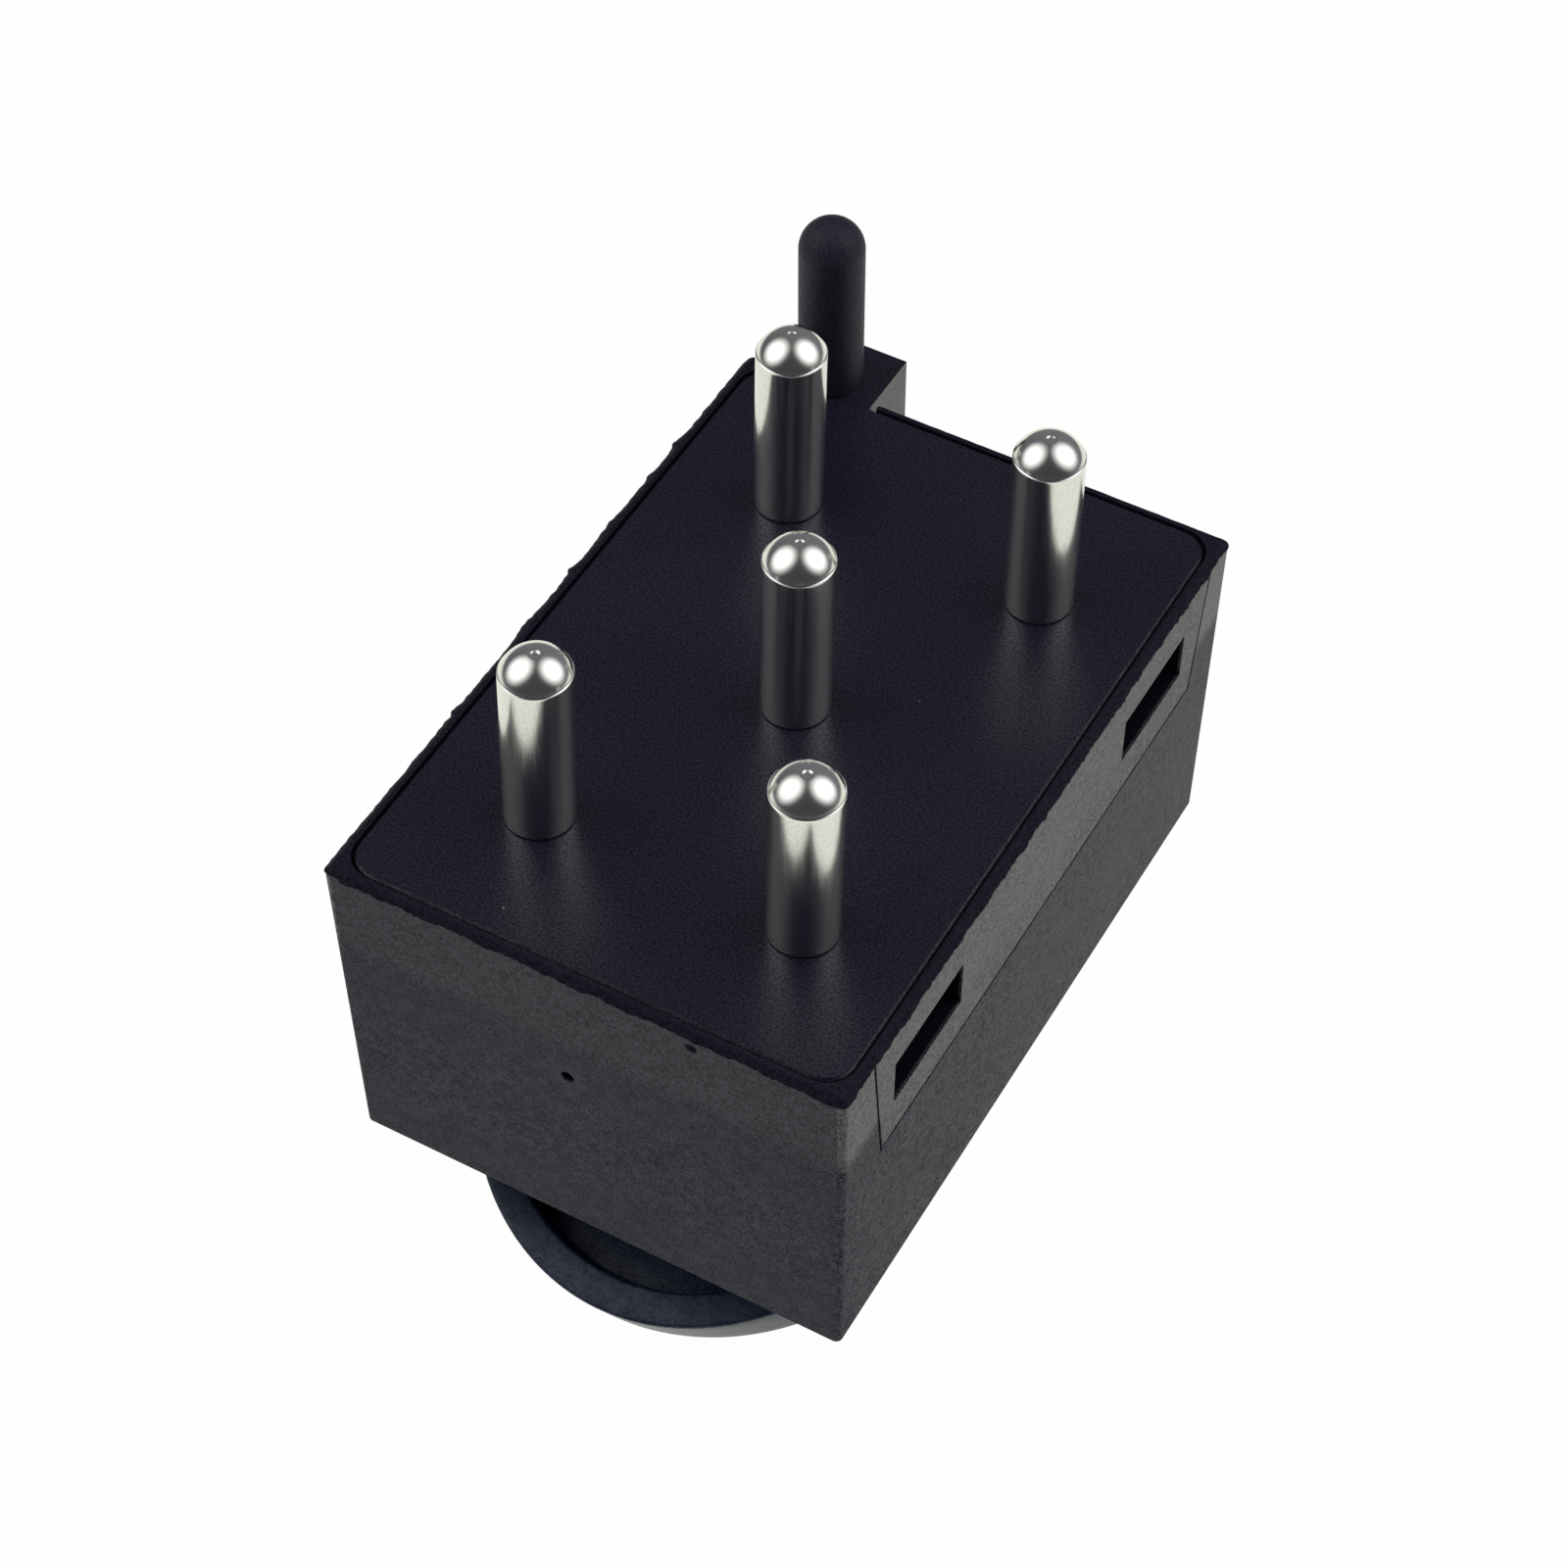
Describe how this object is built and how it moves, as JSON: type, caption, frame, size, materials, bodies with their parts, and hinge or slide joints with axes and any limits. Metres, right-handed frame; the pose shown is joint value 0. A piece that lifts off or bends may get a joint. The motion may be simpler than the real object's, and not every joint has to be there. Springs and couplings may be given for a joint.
{
  "type": "power window switch",
  "caption": "Window lift rocker switch: black moulded housing with round terminal pins and a keying peg behind, and a round bent rocker knob in front.",
  "frame": {"origin": "foot of the centre terminal pin, on the terminal face", "axes": "+Z out along the terminal pins, +Y along the housing towards the keying peg's end, X across the housing and along the rocker's axle"},
  "size_m": [0.0312, 0.0496, 0.0456],
  "materials": {
    "housing_plastic": "fine spark-eroded texture, black",
    "plate_plastic": "semi-gloss black",
    "knob_plastic": "satin black",
    "inner_plastic": "natural nylon",
    "pin_metal": "turned brass, bright nickel plate",
    "strip_metal": "stamped brass",
    "contact_metal": "silver alloy",
    "spring_steel": "drawn spring wire"
  },
  "bodies": {
    "case": {"housing": "housing_plastic", "base_plate": "plate_plastic", "guide_frame": "inner_plastic", "terminal_pin_centre": "pin_metal", "terminal_pin_front_left": "pin_metal", "terminal_pin_front_right": "pin_metal", "terminal_pin_rear_left": "pin_metal", "terminal_pin_rear_right": "pin_metal", "supply_strip": "strip_metal", "motor_strip_left": "strip_metal", "motor_strip_right": "strip_metal", "ground_strip_left": "strip_metal", "ground_strip_right": "strip_metal", "return_spring_front": "spring_steel", "return_spring_rear": "spring_steel"},
    "rocker": {"rocker_knob": "knob_plastic", "rocker_lever": "knob_plastic", "rocker_axle": "spring_steel"},
    "carriage": {"contact_carriage": "inner_plastic", "contact_bridge_left": "strip_metal", "contact_bridge_right": "strip_metal", "contact_points_left": "contact_metal", "contact_points_right": "contact_metal", "contact_spring_left": "spring_steel", "contact_spring_right": "spring_steel"},
    "plunger_front": {"return_plunger_front": "inner_plastic"},
    "plunger_rear": {"return_plunger_rear": "inner_plastic"}
  },
  "joints": [
    {"name": "rocker_tilt", "type": "hinge", "parent": "case", "child": "rocker", "pos_m": [-0.0003, -0.0085, -0.0186], "axis": [1, 0, 0], "range_deg": [-10, 10], "stiffness_Nm_per_rad": 0.058},
    {"name": "carriage_slide", "type": "slide", "parent": "case", "child": "carriage", "axis": [0, 1, 0], "range_m": [-0.00205, 0.00205]},
    {"name": "plunger_front_slide", "type": "slide", "parent": "case", "child": "plunger_front", "axis": [0, 0, 1], "range_m": [-0.00106, 0.00106], "deforming": ["return_spring_front"]},
    {"name": "plunger_rear_slide", "type": "slide", "parent": "case", "child": "plunger_rear", "axis": [0, 0, 1], "range_m": [-0.00106, 0.00106], "deforming": ["return_spring_rear"]}
  ],
  "couplings": [
    {"joint": "carriage_slide", "follows": "rocker_tilt", "m_per_rad": -0.0116},
    {"joint": "plunger_front_slide", "follows": "rocker_tilt", "m_per_rad": -0.006},
    {"joint": "plunger_rear_slide", "follows": "rocker_tilt", "m_per_rad": 0.006}
  ]
}
